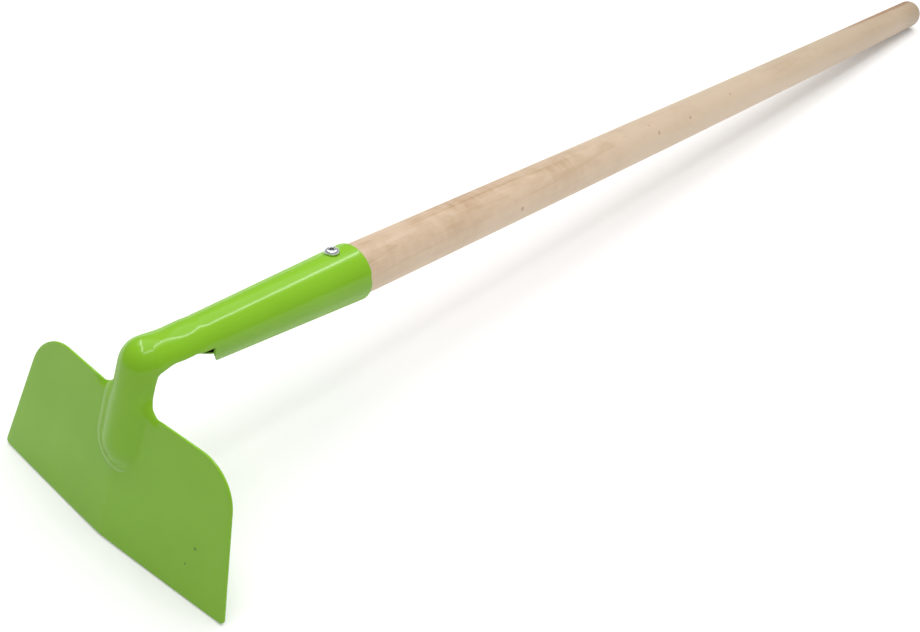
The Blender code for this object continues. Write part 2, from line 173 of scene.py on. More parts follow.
# %% Places along the middle of the blank
HALF_BLADE = BLADE_WIDTH / 2
SIDE_TAPER = (BLADE_WIDTH - BLADE_TOP_WIDTH) / 2 / BLADE_HEIGHT
SIDE_ANGLE = math.atan(SIDE_TAPER)
STRIP_HALF_WIDTH = NECK_HALF_WIDTH + ROOT_FILLET
WING_START = STRIP_HALF_WIDTH + ROOT_SPREAD
ROOT_START = BLADE_HEIGHT - ROOT_BELOW
ROOT_END = BLADE_HEIGHT + ROOT_ABOVE
BEND_START = BLADE_HEIGHT + NECK_DROP
BEND_END = BEND_START + BEND_RADIUS * (BEND_ANGLE + NECK_FALL)
NOTCH = BEND_END + NECK_REACH
BLEND_END = NOTCH + SOCKET_BLEND_INSIDE
BLEND_START = BLEND_END - SOCKET_BLEND
REACH_START = BEND_END - REACH_BLEND_INSIDE
REACH_END = REACH_START + REACH_BLEND
MOUTH = NOTCH + SOCKET_LENGTH
SOCKET_TAPER = (SOCKET_MOUTH_RADIUS - SOCKET_END_RADIUS) / SOCKET_LENGTH
RIB_CROWN_RADIUS = RIB_HEIGHT / (1 - math.cos(RIB_SLOPE)) - RIB_FOOT_RADIUS
RIB_CROWN_EDGE = RIB_CROWN_RADIUS * math.sin(RIB_SLOPE)
RIB_HALF_WIDTH = RIB_CROWN_EDGE + RIB_FOOT_RADIUS * math.sin(RIB_SLOPE)
RIB_CENTRE = RIB_BOTTOM + RIB_HALF_WIDTH
print("blank length:", round(MOUTH / MM, 1), "mm")


# %% The middle line and its sections
def smooth(value, start, stop):
    """Share s of the way from start to stop, eased as 3 s squared minus 2 s cubed."""
    share = np.clip((value - start) / (stop - start), 0, 1)
    return share * share * (3 - 2 * share)


def socket_radius(station):
    """Mouth radius, less the taper times the distance from the mouth."""
    return SOCKET_MOUTH_RADIUS + SOCKET_TAPER * (station - MOUTH)


def section_radius(station):
    """Neck radius, eased to the bend's radius over the bend and to the socket's at the notch."""
    neck = NECK_SECTION_RADIUS
    neck = neck + (BEND_SECTION_RADIUS - neck) * smooth(station, BEND_START, BEND_END)
    return neck + (socket_radius(station) - neck) * smooth(station, BLEND_START, BLEND_END)


def ridge_line(station):
    """Place of the middle line and its inward direction: a straight drop, an arc, a long crest."""
    share = smooth(station, BLEND_START, BLEND_END)
    bent = np.clip((BEND_END - station) / BEND_RADIUS, 0, BEND_ANGLE + NECK_FALL)
    turn = bent - NECK_FALL * (1 - share)
    inward = np.stack([np.sin(turn), -np.cos(turn)], -1)
    bend_top = np.array([BEND_END - MOUTH, NECK_CREST + math.tan(NECK_FALL) * NECK_REACH])
    bend_centre = bend_top - BEND_RADIUS * np.array([math.sin(NECK_FALL), math.cos(NECK_FALL)])
    drop = np.maximum(BEND_START - station, 0)[..., None]
    down = -np.array([math.cos(BEND_ANGLE), math.sin(BEND_ANGLE)])
    bend = bend_centre - BEND_RADIUS * inward + drop * down
    reach = station - MOUTH
    neck_crest = NECK_CREST + math.tan(NECK_FALL) * (NOTCH - station)
    through = np.clip((station - BEND_END) / (BLEND_START - BEND_END), 0, 1)
    neck_crest = neck_crest - NECK_SAG * np.sin(math.pi * through)**2
    socket_crest = socket_radius(station) - math.tan(SOCKET_TILT) * reach
    straight = np.stack([reach, neck_crest + (socket_crest - neck_crest) * share], -1)
    return np.where((station > BEND_END)[..., None], straight, bend), inward


# %% The rib and the swept wings
def rib_depth(distance):
    """Height of the rib: a round crown, then a round foot that runs out level into the blade."""
    crown = np.sqrt(np.maximum(RIB_CROWN_RADIUS**2 - distance**2, 0))
    crown = RIB_HEIGHT - RIB_CROWN_RADIUS + crown
    into_foot = np.clip(RIB_HALF_WIDTH - distance, 0, RIB_FOOT_RADIUS)
    foot = RIB_FOOT_RADIUS - np.sqrt(RIB_FOOT_RADIUS**2 - into_foot**2)
    return np.where(distance < RIB_CROWN_EDGE, crown, np.where(distance < RIB_HALF_WIDTH, foot, 0))


def swept_back(side):
    """Distance behind the middle: sine of the sweep times the reach, soft within the crease."""
    reach = np.abs(side)
    soft = (side**2 / CREASE_HALF_WIDTH + CREASE_HALF_WIDTH) / 2
    return math.sin(SWEEP_ANGLE) * np.where(reach < CREASE_HALF_WIDTH, soft, reach)


# %% The press
def press_point(station, side):
    """Place of a blank point: the middle line there, plus a section that eases from flat to round.

    The flat section is the wing with its rib. The round one wraps the side distance round a circle.
    """
    station, side = np.broadcast_arrays(np.asarray(station, float), np.asarray(side, float))
    reach = np.abs(side)
    up_blade = np.clip(station / BLADE_HEIGHT, 0, 1)
    beside_root = smooth(reach, NECK_HALF_WIDTH, STRIP_HALF_WIDTH)
    beside_root = beside_root * (1 - smooth(reach, STRIP_HALF_WIDTH, WING_START))
    rise = EDGE_RISE * (side / HALF_BLADE)**2 * (1 - up_blade)
    station = station + rise - ROOT_DIP * beside_root * up_blade
    rib_distance = np.hypot(side, np.minimum(station - RIB_CENTRE, 0))
    flat_across = side * math.cos(SWEEP_ANGLE)
    flat_inward = RIB_HEIGHT + swept_back(side) - rib_depth(rib_distance)
    radius = section_radius(station)
    round_across = radius * np.sin(side / radius)
    round_inward = radius * (1 - np.cos(side / radius))
    beside = smooth(reach, NECK_HALF_WIDTH, WING_START)
    beside = beside * (1 - smooth(station, BLADE_HEIGHT, BLADE_HEIGHT + ROOT_FILLET))
    share = smooth(station, ROOT_START, ROOT_END) * (1 - beside)
    out = flat_across + (round_across - flat_across) * share
    deep = flat_inward + (round_inward - flat_inward) * share
    ridge, inward = ridge_line(station)
    place = ridge + deep[..., None] * inward
    return np.stack([place[..., 0], out, place[..., 1]], -1)


NUDGE = 0.01 * MM


def pressed_normal(station, side):
    """Outward direction: the cross product of the steps that the press makes of two small nudges."""
    forward = press_point(station + NUDGE, side) - press_point(station - NUDGE, side)
    sideways = press_point(station, side + NUDGE) - press_point(station, side - NUDGE)
    normal = np.cross(forward, sideways)
    return normal / np.linalg.norm(normal, axis=-1, keepdims=True)


top = press_point(BEND_END, 0.0)
print("top of the bend:", [round(v / MM, 1) for v in top])

# %% [markdown]
# Grids of the blank.
# The blank is a T with round corners, which one grid can't fill without slivers. Five grids can: a
# strip down the middle, two wings and two flaps that roll round the handle. Grids that meet use the
# same stations along their common edge, so their points can be merged afterwards. All outlines are
# drawn in by the round of the edge, which the rim adds again later.

# %% Rows along the blank
FOOT_MARGIN = 1.0 * MM
FILLET_STEPS = 8


def legs(start, *spans):
    """Places from start on: each span gives an end and the number of even steps to it."""
    ends = [start] + [end for end, _ in spans]
    steps = [np.linspace(a, b, count + 1)[1:] for a, (b, count) in zip(ends, spans)]
    return np.concatenate([[start], *steps])


fillet_turn = np.linspace(0, math.pi / 2, FILLET_STEPS + 1)[1:]
blade_rows = legs(EDGE_ROUND, (RIB_BOTTOM - FOOT_MARGIN, 30), (RIB_CENTRE, 26), (ROOT_START, 14),
                  (BLADE_HEIGHT - EDGE_ROUND, 10))
fillet_rows = BLADE_HEIGHT + ROOT_FILLET - (ROOT_FILLET + EDGE_ROUND) * np.cos(fillet_turn)
neck_rows = legs(BLADE_HEIGHT + ROOT_FILLET, (ROOT_END, 14), (BEND_START, 16), (BEND_END, 44),
                 (BLEND_START, 24), (NOTCH + EDGE_ROUND, 12))[1:]
socket_rows = legs(NOTCH + EDGE_ROUND, (BLEND_END, 4), (MOUTH - EDGE_ROUND, 84))
strip_rows = np.concatenate([blade_rows, fillet_rows, neck_rows, socket_rows[1:]])
print("rows:", len(strip_rows))


# %% The middle strip
STRIP_COLUMNS = 64


def strip_edge(station):
    """Half width of the strip: neck, fuller bend and narrower reach, rounded into the blade."""
    bend_share = smooth(station, BEND_START - NECK_BLEND / 2, BEND_START + NECK_BLEND / 2)
    width = NECK_HALF_WIDTH + (BEND_HALF_WIDTH - NECK_HALF_WIDTH) * bend_share
    width = width + (REACH_HALF_WIDTH - BEND_HALF_WIDTH) * smooth(station, REACH_START, REACH_END)
    width = width + NOTCH_SPREAD * smooth(station, NOTCH - NOTCH_SPREAD_START, NOTCH - NOTCH_SPREAD_END)
    fillet = ROOT_FILLET + EDGE_ROUND
    rise = np.clip(BLADE_HEIGHT + ROOT_FILLET - station, 0, fillet)
    return width + ROOT_FILLET - np.sqrt(fillet**2 - rise**2)


strip_side = strip_edge(strip_rows)[:, None] * np.linspace(-1, 1, STRIP_COLUMNS + 1)
strip = np.stack(np.broadcast_arrays(strip_rows[:, None], strip_side), -1)
print("strip grid:", strip.shape[:2])

# %% The wings
WING_COLUMNS = 36
WING_BUNCHING = 1.3
LOW_CORNER_STEPS = 8
HIGH_CORNER_STEPS = 30


def arc(centre, radius, first, last, steps):
    """Round corner of the blank: centre plus radius times cosine and sine, as station and side."""
    angle = np.linspace(first, last, steps + 1)
    return np.stack([centre[0] + radius * np.sin(angle), centre[1] + radius * np.cos(angle)], -1)


def wing_rim(corner_radius):
    """Outline of a wing, drawn in by the round of the edge, with one point for each blade row."""
    quarter = math.pi / 2
    top_station = BLADE_HEIGHT - corner_radius
    top_side = HALF_BLADE - SIDE_TAPER * top_station - corner_radius / math.cos(SIDE_ANGLE)
    low_side = HALF_BLADE - (SIDE_TAPER + 1 / math.cos(SIDE_ANGLE)) * BOTTOM_CORNER_RADIUS
    low = arc((BOTTOM_CORNER_RADIUS, low_side), BOTTOM_CORNER_RADIUS - EDGE_ROUND,
              -quarter, SIDE_ANGLE, LOW_CORNER_STEPS)
    high = arc((top_station, top_side), corner_radius - EDGE_ROUND, SIDE_ANGLE, quarter, HIGH_CORNER_STEPS)
    between = np.linspace(low[-1], high[0], len(blade_rows) - len(low) - len(high) + 2)[1:-1]
    return np.concatenate([low, between, high])


def wing_grid(corner_radius):
    """Straight rows from the strip's edge to the outline, bunched towards the strip."""
    inner = np.stack([blade_rows, np.full(len(blade_rows), STRIP_HALF_WIDTH)], -1)
    share = np.linspace(0, 1, WING_COLUMNS + 1)[:, None] ** WING_BUNCHING
    return inner[:, None] + (wing_rim(corner_radius) - inner)[:, None] * share


print("wing grid:", wing_grid(NEAR_CORNER_RADIUS).shape[:2])

# %% The flaps that roll round the handle
FLAP_COLUMNS = 40


def flap_grid(setback, curve, shift):
    """Rows from a curved front, set back by a power of the way round, to the mouth."""
    way_round = np.linspace(0, 1, FLAP_COLUMNS + 1)
    front = NOTCH + EDGE_ROUND + setback * way_round**curve
    back = MOUTH - EDGE_ROUND
    share = (socket_rows[:, None] - socket_rows[0]) / (back - socket_rows[0])
    station = front + (back - front) * share
    edge = strip_edge(socket_rows)[:, None]
    seam = math.pi * socket_radius(station) - SEAM_GAP / 2 - EDGE_ROUND + shift
    return np.stack([station, edge + (seam - edge) * way_round], -1)


def mirrored(grid):
    """The same grid on the other side, with its columns turned round so that it still faces out."""
    return grid[:, ::-1] * (1, -1)


near_flap = mirrored(flap_grid(NEAR_SETBACK, NEAR_CURVE, -SEAM_SHIFT))
far_flap = flap_grid(FAR_SETBACK, FAR_CURVE, SEAM_SHIFT)
print("flap grid:", near_flap.shape[:2])

# %% [markdown]
# From grids to a closed sheet.
# Blender's Solidify would give the sheet its thickness, but its rim is square and real sheet with a
# coat of powder has soft edges. So the inner face is the outer face moved in along its own normals,
# and the rim is a rounded profile carried round the open edge. Two lookup arrays hold the points
# before and after each point of that edge.

# %% Merge the grids
MERGE_STEP = 0.0001 * MM


def joined(grids):
    """Points and quads of several grids, with points in the same place made one."""
    points = np.concatenate([grid.reshape(-1, 2) for grid in grids])
    rounded = np.round(points / MERGE_STEP)
    _, first, index = np.unique(rounded, axis=0, return_index=True, return_inverse=True)
    quads, start = [], 0
    for grid in grids:
        number = start + np.arange(grid[..., 0].size).reshape(grid.shape[:2])
        start += number.size
        corners = [number[:-1, :-1], number[1:, :-1], number[1:, 1:], number[:-1, 1:]]
        quads.append(index.ravel()[np.stack(corners, -1).reshape(-1, 4)])
    return points[first], np.concatenate(quads)


def open_edges(faces, count):
    """Directed edges that no other face shares, as their first and second corner."""
    start = faces.ravel()
    stop = np.roll(faces, -1, axis=1).ravel()
    alone = ~np.isin(start * count + stop, stop * count + start)
    return start[alone], stop[alone]


blank, outer_faces = joined([strip, wing_grid(FAR_CORNER_RADIUS), mirrored(wing_grid(NEAR_CORNER_RADIUS)),
                             far_flap, near_flap])
edge_from, edge_to = open_edges(outer_faces, len(blank))
print("blank points:", len(blank), "open edges:", len(edge_from))

# %% Give the sheet its thickness and its rounded rim
RIM_STEPS = 8
RIM_FULLNESS = 0.9


def sheet_surface(blank, faces, edge_from, edge_to):
    """Outer face, inner face and rim.

    The inner face is the outer one moved in by the thickness. The rim is a flattened half circle:
    outwards by the round times cosine, and up and down by half the thickness times sine, both
    raised to a power below one.
    """
    count = len(blank)
    outer = press_point(*blank.T)
    normal = pressed_normal(*blank.T)
    inner = outer - SHEET * normal
    after, before = np.zeros(count, int), np.zeros(count, int)
    after[edge_from] = edge_to
    before[edge_to] = edge_from
    rim = edge_from
    run = outer[after[rim]] - outer[before[rim]]
    outwards = np.cross(run, normal[rim])
    outwards /= np.linalg.norm(outwards, axis=1, keepdims=True)
    turn = np.linspace(math.pi / 2, -math.pi / 2, RIM_STEPS + 1)[1:-1, None, None]
    bulge = EDGE_ROUND * np.cos(turn)**RIM_FULLNESS
    height = SHEET / 2 * np.sign(np.sin(turn)) * np.abs(np.sin(turn))**RIM_FULLNESS
    middle = outer[rim] - normal[rim] * SHEET / 2
    rings = middle + bulge * outwards + height * normal[rim]
    place = np.zeros(count, int)
    place[rim] = np.arange(len(rim))
    levels = [np.arange(count)]
    levels += [2 * count + k * len(rim) + place for k in range(RIM_STEPS - 1)]
    levels += [count + np.arange(count)]
    rim_faces = [np.stack([above[edge_to], above[edge_from], below[edge_from], below[edge_to]], -1)
                 for above, below in zip(levels, levels[1:])]
    points = np.concatenate([outer, inner, rings.reshape(-1, 3)])
    return points, np.concatenate([faces, faces[:, ::-1] + count, *rim_faces]).tolist()


head_points, head_faces = sheet_surface(blank, outer_faces, edge_from, edge_to)
print("head:", len(head_points), "points,", len(head_faces), "faces")


# %% Put a surface into the scene
def make_piece(name, points, faces, node=None):
    """Smooth mesh object from points in the tool's own axes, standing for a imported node."""
    mesh = bpy.data.meshes.new(name)
    mesh.from_pydata(placed(points).tolist(), [], faces)
    mesh.shade_smooth()
    piece = bpy.data.objects.new(name, mesh)
    bpy.context.scene.collection.objects.link(piece)
    if node:
        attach(piece, "root")
        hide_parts(node)
    return piece


def drilled(piece, drill):
    """Cut the drill out of the piece, keep the result as its mesh and throw the drill away."""
    modifier = piece.modifiers.new("drill", "BOOLEAN")
    modifier.operation = "DIFFERENCE"
    modifier.solver = "EXACT"
    modifier.object = drill
    bpy.context.view_layer.update()
    seen = piece.evaluated_get(bpy.context.evaluated_depsgraph_get())
    cut = bpy.data.meshes.new_from_object(seen)
    piece.modifiers.clear()
    piece.data = cut
    bpy.data.objects.remove(drill, do_unlink=True)


# %% [markdown]
# Turned pieces.
# The handle comes off a lathe, and so does the blank of the screw. Blender's Screw modifier turns a
# profile too, but the handle also has a slight bow. So each turned piece is a list of rings with a
# place, a radius and a shift, and one function closes the skin over them with a pole at each end.

# %% Skin over rings
def turned(place, radius, shift, sides):
    """Closed skin: rings of radius times sine and cosine about a line, with a point at each end."""
    angle = np.arange(sides) * 2 * math.pi / sides
    ring = np.stack([np.zeros(sides), np.sin(angle), np.cos(angle)], -1)
    centre = np.stack([place, np.zeros_like(place), shift], -1)
    points = centre[:, None] + radius[:, None, None] * ring
    number = np.arange(points[..., 0].size).reshape(-1, sides)
    following = np.roll(number, -1, axis=1)
    quads = np.stack([number[:-1], number[1:], following[1:], following[:-1]], -1).reshape(-1, 4)
    first, last = number.size, number.size + 1
    front = np.stack([following[0], np.full(sides, first), number[0]], -1)
    back = np.stack([number[-1], np.full(sides, last), following[-1]], -1)
    points = np.concatenate([points.reshape(-1, 3), centre[:1], centre[-1:]])
    return points, quads.tolist() + front.tolist() + back.tolist()


# %% Sizes of the handle and the screw
FIT = 0.3 * MM
BUTT_RADIUS = 10.2 * MM
HANDLE_BOW = 1.3 * MM
HANDLE_SWELL = 0.2 * MM
BUTT_ROUNDING = 4.8 * MM
TENON_SETBACK = 15.5 * MM
TENON_CHAMFER = 2.0 * MM
SCREW_SETBACK = 12.3 * MM
SCREW_TURN = math.radians(11.0)
SCREW_SEAT_GAP = 0.05 * MM
SCREW_LENGTH = 16.0 * MM
SCREW_POINT = 4.0 * MM
SCREW_RADIUS = 1.75 * MM
SCREW_HOLE_CLEARANCE = 0.4 * MM
SCREW_PILOT_SPARE = 1.0 * MM
SCREW_HEAD_RADIUS = 3.5 * MM
SCREW_HEAD_HEIGHT = 2.1 * MM
SCREW_HEAD_RIM = 0.7 * MM
SCREW_HEAD_FLAT = 1.9 * MM
TENON_LENGTH = SOCKET_LENGTH - TENON_SETBACK
HANDLE_MOUTH_RADIUS = SOCKET_MOUTH_RADIUS - SHEET - FIT
print("handle across the mouth:", round(2 * HANDLE_MOUTH_RADIUS / MM, 1), "mm")

# %% The axis of the screw
DRILL_SIDES = 48

round_the_socket = Matrix.Rotation(SOCKET_TILT, 4, "Y") @ Matrix.Rotation(-SCREW_TURN, 4, "X")
seat = Matrix.Translation((-SCREW_SETBACK, 0, socket_radius(MOUTH - SCREW_SETBACK) + SCREW_SEAT_GAP))
stand_up = Matrix.Rotation(-math.pi / 2 - math.atan(SOCKET_TAPER), 4, "Y")
screw_place = np.array(round_the_socket @ seat @ stand_up)


def on_screw_axis(points):
    """Points made along the first axis, stood up on the screw's seat and turned round the socket."""
    return points @ screw_place[:3, :3].T + screw_place[:3, 3]


def drill(bottom, top, radius):
    """Plain round cutter on the screw's axis."""
    place = np.array([bottom, top])
    points, faces = turned(place, np.full(2, radius), np.zeros(2), DRILL_SIDES)
    return make_piece("drill", on_screw_axis(points), faces)


head = make_piece("pressed_head", head_points, head_faces, "hoe_head")
drilled(head, drill(-SHEET - SCREW_HEAD_RADIUS, SCREW_HEAD_RADIUS, SCREW_RADIUS + SCREW_HOLE_CLEARANCE))
print("head after drilling:", len(head.data.polygons), "faces")

# %% [markdown]
# The handle.
# A hardwood stick, turned with a taper, thickest at the socket. It bends about a millimetre off
# straight as it dries, and a sander takes the edge off its butt. Its front end is a hidden tenon.
# The rings are packed close where the profile turns, at the chamfer of the tenon and at the butt.

# %% Turn the handle
HANDLE_SIDES = 96
BODY_RINGS = 120
BUTT_STEPS = 16
BUTT_FACE_RINGS = (0.7, 0.4, 0.1)


def handle_rings():
    """Places, radii and shifts of the rings.

    On the body the shift is the bow times four times share times one minus share, and the radius is
    a straight taper plus a swell of the same form. The butt takes a quarter circle off that.
    """
    tenon = legs(-TENON_LENGTH, (TENON_CHAMFER - TENON_LENGTH, 3), (-FIT, 20))
    tenon_radius = socket_radius(MOUTH + tenon) - SHEET - FIT
    tenon_radius = tenon_radius - np.maximum(TENON_CHAMFER - TENON_LENGTH - tenon, 0)
    tenon_shift = -math.tan(SOCKET_TILT) * tenon
    body = np.linspace(0, HANDLE_LENGTH - BUTT_ROUNDING, BODY_RINGS)
    turn = np.linspace(0, math.pi / 2, BUTT_STEPS + 1)[1:]
    place = np.concatenate([body, HANDLE_LENGTH - BUTT_ROUNDING * (1 - np.sin(turn))])
    share = place / HANDLE_LENGTH
    arch = 4 * share * (1 - share)
    radius = HANDLE_MOUTH_RADIUS + (BUTT_RADIUS - HANDLE_MOUTH_RADIUS) * share + HANDLE_SWELL * arch
    past = np.maximum(place - (HANDLE_LENGTH - BUTT_ROUNDING), 0)
    radius = radius - BUTT_ROUNDING + np.sqrt(np.maximum(BUTT_ROUNDING**2 - past**2, 0))
    place = np.append(place, np.full(len(BUTT_FACE_RINGS), HANDLE_LENGTH))
    radius = np.append(radius, radius[-1] * np.array(BUTT_FACE_RINGS))
    shift = np.append(-HANDLE_BOW * arch, np.zeros(len(BUTT_FACE_RINGS)))
    return (np.concatenate([tenon, place]), np.concatenate([tenon_radius, radius]),
            np.concatenate([tenon_shift, shift]))


handle_points, handle_faces = turned(*handle_rings(), HANDLE_SIDES)
handle = make_piece("turned_handle", handle_points, handle_faces, "handle")
drilled(handle, drill(-SCREW_LENGTH - SCREW_PILOT_SPARE, SCREW_HEAD_RADIUS, SCREW_RADIUS + FIT))
print("handle:", len(handle.data.polygons), "faces")

# %% [markdown]
# The screw.
# A small pan head wood screw with a cross recess. A boolean could cut the cross, but a stamped
# recess has sloping walls and soft edges. So the head's height is the pan's height less the depth of
# two crossed slots, and the thread is a ridge that climbs as it goes round.

# %% Profile of the screw
SCREW_SIDES = 96
SHANK_RINGS = 150
PAN_RINGS = 14
FLAT_RINGS = 33
SHANK_END = 0.3 * MM
TIP_BLUNTNESS = 0.08
HEAD_EASE = 0.2 * MM
HEAD_EASE_HEIGHT = 0.15 * MM
MIDDLE_RADIUS = 0.03 * MM


def screw_profile():
    """Places and radii of the rings: tip, shank, under the head, over its pan and to the middle."""
    shank = np.linspace(-SCREW_LENGTH, -SHANK_END, SHANK_RINGS)
    body = SCREW_RADIUS * np.clip((shank + SCREW_LENGTH) / SCREW_POINT, TIP_BLUNTNESS, 1)
    turn = np.linspace(0, math.pi / 2, PAN_RINGS)
    pan_place = SCREW_HEAD_RIM + (SCREW_HEAD_HEIGHT - SCREW_HEAD_RIM) * np.sin(turn)
    pan_radius = SCREW_HEAD_FLAT + (SCREW_HEAD_RADIUS - SCREW_HEAD_FLAT) * np.cos(turn)
    flat_place = np.full(FLAT_RINGS, SCREW_HEAD_HEIGHT)
    flat_radius = np.linspace(SCREW_HEAD_FLAT, MIDDLE_RADIUS, FLAT_RINGS + 1)[1:]
    under = np.array([SCREW_RADIUS, SCREW_HEAD_RADIUS - HEAD_EASE, SCREW_HEAD_RADIUS])
    place = np.concatenate([shank, [0, 0, HEAD_EASE_HEIGHT], pan_place, flat_place])
    return place, np.concatenate([body, under, pan_radius, flat_radius])


ring_place, ring_radius = screw_profile()
print("screw rings:", len(ring_place))

# %% Thread and recess
RECESS_SPAN = 3.2 * MM
RECESS_SLOT = 0.9 * MM
RECESS_DEPTH = 1.1 * MM
RECESS_WALL = 0.2 * MM
THREAD_PITCH = 1.4 * MM
THREAD_DEPTH = 0.4 * MM
THREAD_SHARPNESS = 3.0
THREAD_END = 1.5 * MM
THREAD_FULL = 3.0 * MM


def thread_share(x, y, z):
    """Share of the radius that the thread leaves: one, less the groove's depth over the radius.

    The ridge is a cosine of the turns, place over pitch less the angle, raised to a power. The
    groove beside it runs out under the head and towards the tip.
    """
    angle = np.arctan2(y, z) / (2 * math.pi)
    ridge = 0.5 + 0.5 * np.cos(2 * math.pi * (x / THREAD_PITCH - angle))
    groove = THREAD_DEPTH * (1 - ridge**THREAD_SHARPNESS) * smooth(-x, THREAD_END, THREAD_FULL)
    groove *= np.clip((x + SCREW_LENGTH) / SCREW_POINT, 0, 1)
    thin = 1 - groove / np.maximum(np.hypot(y, z), SCREW_RADIUS / 3)
    return np.where(x < 0, thin, 1)


def recess_sink(y, z):
    """Depth of two crossed slots: full depth, times the share in a slot, times that in its span."""
    long_way = np.maximum(np.abs(y), np.abs(z))
    short_way = np.minimum(np.abs(y), np.abs(z))
    in_slot = smooth(RECESS_SLOT / 2 - short_way, -RECESS_WALL, RECESS_WALL)
    in_span = smooth(RECESS_SPAN / 2 - long_way, -RECESS_WALL, 3 * RECESS_WALL)
    return RECESS_DEPTH * in_slot * in_span


screw_points, screw_faces = turned(ring_place, ring_radius, np.zeros_like(ring_place), SCREW_SIDES)
x, y, z = screw_points.T
thinned = thread_share(x, y, z)
y, z = y * thinned, z * thinned
x = np.where(x > SCREW_HEAD_RIM, x - recess_sink(y, z), x)
screw_points = on_screw_axis(np.stack([x, y, z], -1))
screw = make_piece("pan_head_screw", screw_points, screw_faces, "socket_screw")
print("screw:", len(screw.data.polygons), "faces")

# %% [markdown]
# Finishes.
# All three materials are patterns in space. They read Object coordinates, which a Mapping node turns
# to the tool's own axes, so that grain runs along the handle however the hoe lies. Fine unevenness
# and scattered specks occur in more than one finish, so each is a node group.

# %% Helpers for node trees
def linear(colour):
    """A colour as seen, in shares of 255, as the linear values that a material holds."""
    shares = [value / 255 for value in colour]
    return [s / 12.92 if s <= 0.04045 else ((s + 0.055) / 1.055)**2.4 for s in shares] + [1.0]


def add_node(tree, kind, inputs=None, **settings):
    """New node with its settings, and its inputs linked to sockets or set to values."""
    node = tree.nodes.new(kind)
    for name, value in settings.items():
        setattr(node, name, value)
    for name, value in (inputs or {}).items():
        if isinstance(value, bpy.types.NodeSocket):
            tree.links.new(value, node.inputs[name])
        else:
            node.inputs[name].default_value = value
    return node


def remap(tree, value, low, high, to_low=0.0, to_high=1.0):
    """Value eased from one range to another, held at both ends."""
    inputs = {"Value": value, "From Min": low, "From Max": high, "To Min": to_low, "To Max": to_high}
    return add_node(tree, "ShaderNodeMapRange", inputs, interpolation_type="SMOOTHSTEP").outputs["Result"]


def layered(tree, ground, *layers):
    """Colour of a ground with layers over it, each a share and the colour seen as far as that goes."""
    colour = linear(ground)
    for share, layer in layers:
        inputs = {0: share, 6: colour, 7: linear(layer)}
        colour = add_node(tree, "ShaderNodeMix", inputs, data_type="RGBA", blend_type="MIX").outputs[2]
    return colour


# %% Helpers for sums and distances
def calculate(tree, operation, first, *others):
    """Output of Math nodes that take the values in turn, as a sum or a product does."""
    for other in others or (0.0,):
        first = add_node(tree, "ShaderNodeMath", {0: first, 1: other}, operation=operation).outputs[0]
    return first


def product(tree, *factors):
    """All factors multiplied."""
    return calculate(tree, "MULTIPLY", *factors)


def total(tree, *terms):
    """All terms added."""
    return calculate(tree, "ADD", *terms)


def rest_of(tree, share):
    """One minus the share."""
    return calculate(tree, "SUBTRACT", 1.0, share)


def slant(tree, first, second):
    """Square root of the sum of the two squares."""
    squares = [product(tree, side, side) for side in (first, second)]
    return calculate(tree, "SQRT", total(tree, *squares))


def measured(tree, operation, first, second=(0.0, 0.0, 0.0)):
    """Number that a Vector Math node makes of two vectors."""
    node = add_node(tree, "ShaderNodeVectorMath", {0: first, 1: second}, operation=operation)
    return node.outputs["Value"]


def coordinates(tree, vector):
    """The three coordinates of a vector."""
    return add_node(tree, "ShaderNodeSeparateXYZ", {"Vector": vector}).outputs


def flattened(tree, vector):
    """The vector times nought, one and one, which leaves what lies across the handle."""
    inputs = {0: vector, 1: (0.0, 1.0, 1.0)}
    return add_node(tree, "ShaderNodeVectorMath", inputs, operation="MULTIPLY").outputs[0]


# %% Start a node group
def new_group(name, numbers, output):
    """Node group that makes one number of a vector and named numbers, with its inputs and output."""
    group = bpy.data.node_groups.new(name, "ShaderNodeTree")
    group.interface.new_socket("Vector", in_out="INPUT", socket_type="NodeSocketVector")
    for number in numbers:
        group.interface.new_socket(number, in_out="INPUT", socket_type="NodeSocketFloat")
    group.interface.new_socket(output, in_out="OUTPUT", socket_type="NodeSocketFloat")
    given = group.nodes.new("NodeGroupInput").outputs
    return group, given, group.nodes.new("NodeGroupOutput").inputs[output]


# %% Group: fine unevenness
COLOUR_SWING = (-0.2, 0.2)
GLOSS_SWING = (-0.3, 0.3)

unevenness, given, made = new_group("fine_unevenness", ["Scale", "Detail"], "Value")
inputs = {name: given[name] for name in ("Vector", "Scale", "Detail")}
cloud = add_node(unevenness, "ShaderNodeTexNoise", inputs)
unevenness.links.new(calculate(unevenness, "SUBTRACT", cloud.outputs["Fac"], 0.5), made)
print("group:", unevenness.name)

# %% Group: scattered specks
SPECK_CORE = 0.4

specks, given, made = new_group("scattered_specks", ["Scale", "Size", "Rarity"], "Mask")
cells = add_node(specks, "ShaderNodeTexVoronoi", {"Vector": given["Vector"], "Scale": given["Scale"]})
lottery = add_node(specks, "ShaderNodeSeparateColor", {"Color": cells.outputs["Color"]})
chosen = calculate(specks, "GREATER_THAN", lottery.outputs["Red"], given["Rarity"])
inside = calculate(specks, "DIVIDE", cells.outputs["Distance"], given["Size"])
spot = rest_of(specks, remap(specks, inside, SPECK_CORE, 1.0))
specks.links.new(product(specks, spot, chosen), made)
print("group:", specks.name)


# %% Start a finish, and put it on its piece
def start_finish(name):
    """Material with its tree, and Object coordinates turned to the tool's own axes."""
    finish = bpy.data.materials.new(name)
    finish.use_nodes = True
    tree = finish.node_tree
    place = add_node(tree, "ShaderNodeTexCoord").outputs["Object"]
    inputs = {"Vector": place, "Location": mouth_centre.tolist(), "Rotation": (0.0, tip_angle, 0.0)}
    to_tool = add_node(tree, "ShaderNodeMapping", inputs, vector_type="TEXTURE")
    return finish, tree, to_tool.outputs["Vector"]


